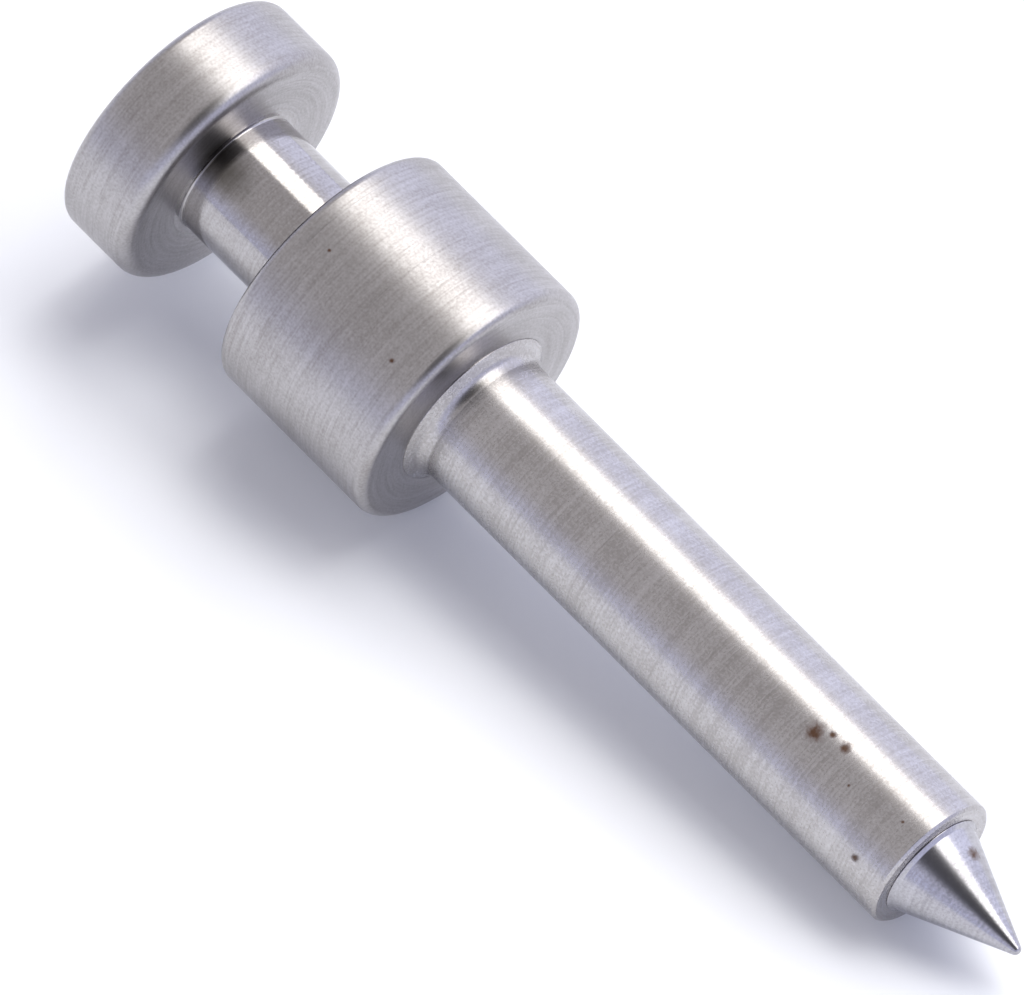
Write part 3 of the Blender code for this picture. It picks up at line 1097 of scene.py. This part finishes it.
@dataclass
class InnerRings:
    """The bush, the sleeve, the seal and the two springs, which start as plain rings."""

    bush_bore: float = 1.0
    sleeve_bore: float = 3.4
    seal_bore: float = 2.54
    edge: float = 0.1
    seal_edge: float = 0.06
    spring_edge: float = 0.03
    clip_bore: float = 1.70
    clip_opening: float = 50.0
    wave_bore: float = 3.42
    wave_thickness: float = 0.15
    wave: float = 0.17
    waves: int = 3

    def build(self, finishes: dict[Slot, bpy.types.Material]) -> None:
        """Make and dress all the rings.

        Args:
            finishes: the material of each slot.
        """
        for node, bore, slot, edge in (
            ("rear_bush", self.bush_bore, Slot.BUSH_BRONZE, self.edge),
            ("spacer_sleeve", self.sleeve_bore, Slot.TURNED_STEEL, self.edge),
            ("felt_seal", self.seal_bore, Slot.GREY_FELT, self.seal_edge),
        ):
            rear, front, outer = span(node)
            piece = plain_ring(f"{node}_turned", rear, front, bore, outer, edge)
            wear(piece, finishes[slot], slot, Body.HOUSING, node)
        self.retaining_ring(finishes[Slot.SPRING_STEEL])
        self.wave_spring(finishes[Slot.SPRING_STEEL])

    def retaining_ring(self, steel: bpy.types.Material) -> None:
        """Make the open spring ring.

        Args:
            steel: the spring steel.
        """
        rear, front, outer = span("retaining_ring")
        ring = plain_ring(
            "retaining_ring_stamped", rear, front, self.clip_bore, outer, self.spring_edge,
            radians(360 - self.clip_opening),
        )
        wear(ring, steel, Slot.SPRING_STEEL, Body.SPINDLE, "retaining_ring")

    def wave_spring(self, steel: bpy.types.Material) -> None:
        """Make the wave washer. It comes out flat, because the moves of its strips cancel out.

        Args:
            steel: the spring steel.
        """
        rear, front, outer = span("wave_spring")
        middle, half = (rear + front) / 2, self.wave_thickness / 2
        ring = plain_ring(
            "wave_spring_stamped", middle - half, middle + half, self.wave_bore, outer, self.spring_edge
        )
        for number in range(SMALL_SIDES):
            angle = 2 * pi * number / SMALL_SIDES
            for vertex in ring.data.vertices:
                away = (atan2(vertex.co.y, vertex.co.z) - angle + pi) % (2 * pi) - pi
                vertex.select = abs(away) < pi / SMALL_SIDES / 2
            bpy.ops.object.mode_set(mode="EDIT")
            bpy.ops.transform.translate(value=(self.wave * MM * sin(self.waves * angle), 0, 0))
            bpy.ops.object.mode_set(mode="OBJECT")
        wear(ring, steel, Slot.SPRING_STEEL, Body.HOUSING, "wave_spring")


# --- studio --------------------------------------------------------------------------------------


@dataclass(frozen=True)
class Panel:
    """A soft light panel: the way to it, its half length along the part, its half width and its glow.

    The two halves are angles, in degrees. A panel may cast no shadow, or be unseen in the steel.
    """

    name: str
    direction: tuple[float, float, float]
    half_length: float
    half_width: float
    glow: float
    colour: tuple[float, float, float]
    casts_shadow: bool = True
    is_mirrored: bool = True


@dataclass
class Studio:
    """Pale bench, three soft panels over it, pale walls and a camera above the part."""

    azimuth: float = 37.05
    elevation: float = 56.26
    roll: float = 12.816
    distance: float = 762.0
    lens: float = 622.9
    aim: tuple[float, float, float] = (18.142, 5.461, -13.408)
    floor_size: float = 6.0
    panel_distance: float = 1.6
    panels: tuple[Panel, ...] = (
        Panel("key_panel", (0.10, 0.435, 0.895), 38, 15.5, 2.6, (1.0, 0.98, 0.93)),
        Panel("back_panel", (-0.10, 0.905, 0.41), 38, 24, 0.42, (0.96, 0.965, 1.0), casts_shadow=False),
        Panel("top_panel", (0.0, 0.2, 0.98), 12, 12, 4.0, (0.98, 0.98, 1.0), is_mirrored=False),
    )
    dark_side: tuple[float, float, float] = (-0.335, -0.23, 0.91)
    wall_glow: float = 1.1
    wall_colour: str = "dfe2ff"
    dark_glow: float = 0.77
    dark_colour: str = "e9e5e8"
    camera_side: tuple[float, float, float] = (0.38, -0.20, 0.90)
    camera_shade: float = 0.12
    dark_edge: tuple[float, float] = (0.22, 0.82)
    shade_edge: tuple[float, float] = (0.79, 0.945)
    card: str = "f4f6f8"
    card_glow: str = "c0cbff"
    card_glow_strength: float = 0.02

    def rest_angle(self) -> float:
        """Find how far the part leans: it lies on the collar's front edge and the barrel's front edge.

        Returns:
            The lean in radians.
        """
        round_edge = Housing.front_round
        _, collar_front, collar_radius = span("housing")
        _, barrel_front, barrel_radius = span("spindle")
        run = (barrel_front - Spindle.barrel_chamfer) - (collar_front - round_edge)
        drop = (collar_radius - round_edge) - barrel_radius
        return atan2(drop, run) + asin(round_edge / hypot(run, drop))

    def build(self) -> None:
        """Lay the bench, hang the light and set up the camera."""
        lean = self.rest_angle()
        up = Vector((-sin(lean), 0, cos(lean)))
        _, collar_front, collar_radius = span("housing")
        edge = Vector((collar_front - Housing.front_round, 0, -collar_radius + Housing.front_round)) * MM
        touch = edge - up * Housing.front_round * MM
        self.bench(touch, up)
        self.light(touch)
        self.walls()
        self.camera()
        log.info("lean %.2f degrees", degrees(lean))

    def bench(self, touch: Vector, up: Vector) -> None:
        """Lay the bench under the part.

        Args:
            touch: a point of the bench, in metres.
            up: its normal.
        """
        deselect_all()
        bpy.ops.mesh.primitive_plane_add(
            size=self.floor_size, location=touch, rotation=up.to_track_quat("Z", "Y").to_euler()
        )
        floor = bpy.context.object
        floor.name = "bench"
        made, _, shader = new_material("white_card")
        # matt white card, whose brightener glows faintly blue
        shader.inputs["Emission Color"].default_value = linear(self.card_glow)
        shader.inputs["Emission Strength"].default_value = self.card_glow_strength
        shader.inputs["Base Color"].default_value = linear(self.card)
        shader.inputs["Roughness"].default_value = 0.9
        shader.inputs["Specular IOR Level"].default_value = 0.1
        floor.data.materials.append(made)

    def light(self, centre: Vector) -> None:
        """Hang the light panels.

        Args:
            centre: the place that the panels face, in metres.
        """
        for panel in self.panels:
            deselect_all()
            direction = Vector(panel.direction).normalized()
            bpy.ops.object.light_add(type="AREA", location=centre + direction * self.panel_distance)
            lamp = bpy.context.object
            lamp.name = panel.name
            side = Vector((1, 0, 0)).cross(direction).normalized()
            along = direction.cross(side) * -1
            lamp.matrix_world = Matrix.Translation(lamp.location) @ Matrix(
                (along, direction.cross(along), direction)
            ).transposed().to_4x4()
            lamp.data.shape = "RECTANGLE"
            lamp.data.size = 2 * self.panel_distance * tan(radians(panel.half_length))
            lamp.data.size_y = 2 * self.panel_distance * tan(radians(panel.half_width))
            lamp.data.energy = panel.glow * pi * lamp.data.size * lamp.data.size_y
            lamp.data.color = panel.colour
            lamp.data.use_shadow = panel.casts_shadow
            lamp.visible_glossy = panel.is_mirrored
            lamp.visible_camera = False

    def walls(self) -> None:
        """Light the walls, which are dimmer behind the camera and on the side the steel mirrors."""
        world = bpy.data.worlds.new("studio_walls")
        bpy.context.scene.world = world
        world.use_nodes = True
        tree = world.node_tree
        background = tree.nodes["Background"]
        way = add_node(tree, "ShaderNodeTexCoord").outputs["Generated"]
        near = add_node(
            tree, "ShaderNodeVectorMath", {0: way, 1: Vector(self.dark_side).normalized()},
            operation="DOT_PRODUCT",
        )
        share = ranged(tree, near.outputs["Value"], self.dark_edge, (0.0, 1.0))
        bright = Vector(linear(self.wall_colour)) * self.wall_glow
        dark = Vector(linear(self.dark_colour)) * self.dark_glow
        tree.links.new(mix(tree, share, bright, dark), background.inputs["Color"])
        seen = add_node(
            tree, "ShaderNodeVectorMath", {0: way, 1: Vector(self.camera_side).normalized()},
            operation="DOT_PRODUCT",
        )
        shade = ranged(tree, seen.outputs["Value"], self.shade_edge, (1.0, self.camera_shade))
        tree.links.new(shade, background.inputs["Strength"])

    def camera(self) -> None:
        """Set up the camera from its azimuth, elevation, roll, distance and lens."""
        a, e, roll = radians(self.azimuth), radians(self.elevation), radians(self.roll)
        back = Vector((sin(a) * cos(e), -cos(a) * cos(e), sin(e)))
        level = Vector((cos(a), sin(a), 0))
        above = back.cross(level)
        right = level * cos(roll) + above * sin(roll)
        up = back.cross(right)
        deselect_all()
        bpy.ops.object.camera_add()
        camera = bpy.context.object
        camera.name = "camera"
        camera.data.lens = self.lens
        camera.data.sensor_width = 36.0
        camera.data.clip_start, camera.data.clip_end = 0.01, 20.0
        camera.data.dof.use_dof = False
        turn_to = Matrix((right, up, back)).transposed().to_4x4()
        camera.matrix_world = Matrix.Translation((Vector(self.aim) + back * self.distance) * MM) @ turn_to
        bpy.context.scene.camera = camera


# --- main ----------------------------------------------------------------------------------------

RUST = (
    Speck(41.2, -1.09, 3.06, 0.42), Speck(41.8, -0.62, 3.19, 0.16), Speck(42.6, -0.65, 3.18, 0.24),
    Speck(46.1, -2.98, 1.29, 0.17), Speck(46.7, -1.13, 3.05, 0.09), Speck(43.9, -1.6, 2.83, 0.08),
    Speck(17.4, -3.82, 5.07, 0.13), Speck(11.95, -2.59, 5.8, 0.08),
)
POINT_RUST = (Speck(49.2, 0.97, 1.75, 0.3), Speck(50.1, -1.0, 0.9, 0.07))


def make_finishes() -> dict[Slot, bpy.types.Material]:
    """Make the material of each slot.

    Returns:
        The materials by slot.
    """
    return {
        Slot.TURNED_STEEL: TurnedSteel("turned_free_machining_steel", specks=RUST).material(),
        Slot.POINT_STEEL: TurnedSteel(
            "ground_tool_steel", dark="9a989b", light="c1c0c5", roughness=0.24, slim_roughness=0.24,
            mark_pitch=0.09, mark_depth=0.0012, grain_depth=0.0006, specks=POINT_RUST,
        ).material(),
        # ground steel: bright, cool and clear, with a faint haze
        Slot.BEARING_STEEL: EvenGrain("ground_bearing_steel", "bdbdc2", "d2d2d6", 0.16).material(),
        # a polished ball: nearly a mirror
        Slot.BALL_STEEL: EvenGrain(
            "polished_bearing_steel", "d6d6da", "e2e2e6", 0.05, 0.3, 0.0001
        ).material(),
        # a phosphate coat: dull, dark grey and slightly dusty
        Slot.SPRING_STEEL: EvenGrain("phosphated_spring_steel", "4a4a4e", "66656a", 0.42, 0.12).material(),
        # cut brass: warm yellow with a satin gloss
        Slot.CAGE_BRASS: EvenGrain("machined_brass", "c39a4c", "e0bd70", 0.28).material(),
        # sintered bronze: brown, dull and full of fine pores that hold oil
        Slot.BUSH_BRONZE: EvenGrain("sintered_bronze", "8e6238", "c28d58", 0.45, 0.1, 0.004).material(),
        # pressed wool: matt grey with a rough, furry face
        Slot.GREY_FELT: EvenGrain(
            "pressed_wool_felt", "5d5c5a", "8b8986", 0.95, 0.08, 0.02, metallic=0.0
        ).material(),
    }


def main() -> None:
    """Build the pieces, dress them and set up the studio."""
    logging.basicConfig(level=logging.INFO, format="%(name)s: %(message)s")
    finishes = make_finishes()
    steel, ball_steel, brass = (
        finishes[Slot.BEARING_STEEL], finishes[Slot.BALL_STEEL], finishes[Slot.CAGE_BRASS]
    )
    # the tail's steel carries painted shade on the neck's root
    tail_steel = TurnedSteel(
        "turned_steel_with_painted_shade", slim_roughness=0.12, specks=RUST,
        painted_shade=PaintedShade(4.3, -1.72, 2.58, 0.55, 1.15, 1.9, 0.76),
    ).material()
    barrel_steel = TurnedSteel(
        "fine_turned_steel", dark="9f9b99", light="c7c5c6", roughness=0.27, slim_roughness=0.27,
        specks=RUST,
    ).material()
    Tail().build(tail_steel)
    Housing().build(finishes[Slot.TURNED_STEEL])
    Spindle().build(barrel_steel, finishes[Slot.POINT_STEEL])
    BallBearing().build(steel, ball_steel, brass)
    ThrustBearing().build(steel, ball_steel, brass)
    InnerRings().build(finishes)
    Studio().build()
    bpy.context.scene.view_settings.view_transform = "Standard"


if __name__ == "__main__":
    main()
